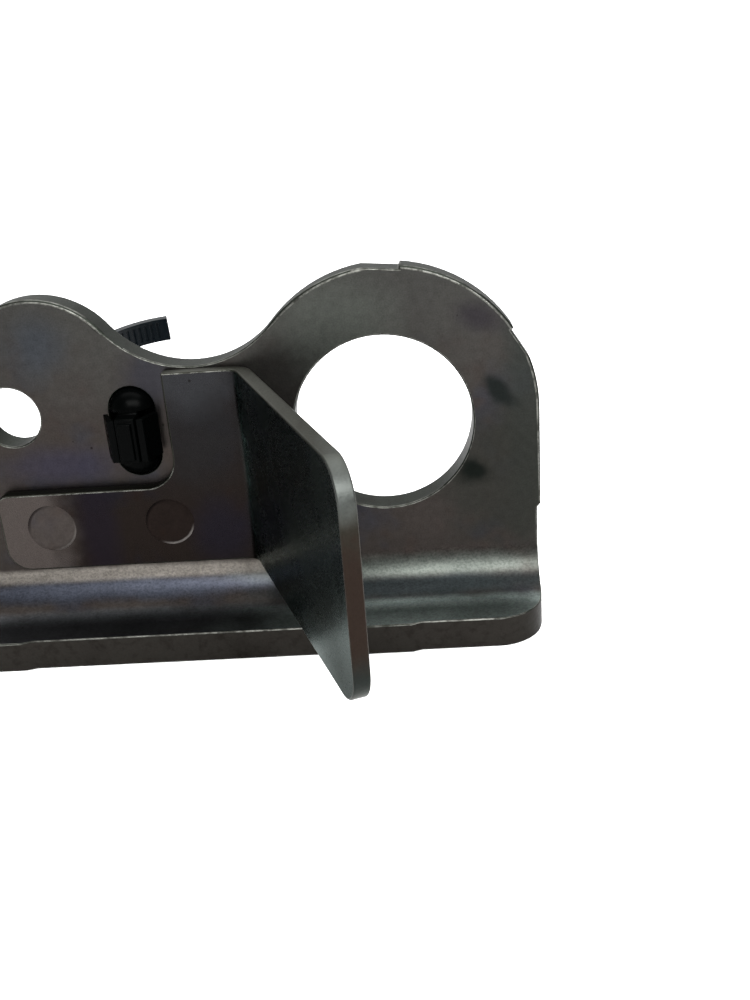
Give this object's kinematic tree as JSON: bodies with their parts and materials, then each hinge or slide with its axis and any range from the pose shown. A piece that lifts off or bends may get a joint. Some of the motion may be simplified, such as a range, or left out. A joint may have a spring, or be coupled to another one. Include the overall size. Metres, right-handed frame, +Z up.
{
  "type": "lifting eye bracket",
  "caption": "Pressed-steel angle bracket with a lifting eye, a bolt hole, a spot-welded fin plate and a snap-in harness tie.",
  "frame": {"origin": "centre of the lifting eye, on the web's front face", "axes": "+X to the right along the web, +Y to the back, square to the web, +Z up from the flange to the lifting eye"},
  "size_m": [0.0863, 0.081, 0.0518],
  "materials": {
    "plated_steel": "zinc-plated pressed steel, satin, brownish with faint violet and blue passivation tints",
    "plated_sheet": "zinc-plated sheet steel, satin, dark blue-green grey on the fin",
    "weld_mark": "dented electrode mark under the same plating",
    "black_nylon": "glossy moulded nylon",
    "strap_nylon": "semi-gloss moulded nylon with fine teeth on the inner face"
  },
  "bodies": {
    "bracket_assembly": {"bracket": "plated_steel", "fin_plate": "plated_sheet", "spot_weld_left": "weld_mark", "spot_weld_right": "weld_mark", "tie_foot": "black_nylon", "tie_dish": "black_nylon", "tie_head": "black_nylon"},
    "left_wing": {"snap_wing_left": "black_nylon"},
    "right_wing": {"snap_wing_right": "black_nylon"},
    "pawl": {"tie_pawl": "black_nylon"},
    "strap": {"tie_strap": "strap_nylon"}
  },
  "joints": [
    {"name": "left_wing_flex", "type": "hinge", "parent": "bracket_assembly", "child": "left_wing", "pos_m": [-0.0364, -0.0045, 0.0011], "axis": [0, 0, -1], "range_deg": [0, 10], "stiffness_Nm_per_rad": 0.02},
    {"name": "right_wing_flex", "type": "hinge", "parent": "bracket_assembly", "child": "right_wing", "pos_m": [-0.0334, -0.0045, 0.0011], "axis": [0, 0, 1], "range_deg": [0, 10], "stiffness_Nm_per_rad": 0.02},
    {"name": "pawl_flex", "type": "hinge", "parent": "bracket_assembly", "child": "pawl", "pos_m": [-0.03295, 0.00801, 0.00145], "axis": [0, -0.225, 0.9744], "range_deg": [0, 12], "stiffness_Nm_per_rad": 0.01},
    {"name": "strap_bend", "type": "hinge", "parent": "bracket_assembly", "child": "strap", "pos_m": [-0.03903, 0.00835, 0.00153], "axis": [0, -0.225, 0.9744], "range_deg": [-25, 20], "stiffness_Nm_per_rad": 0.02}
  ]
}
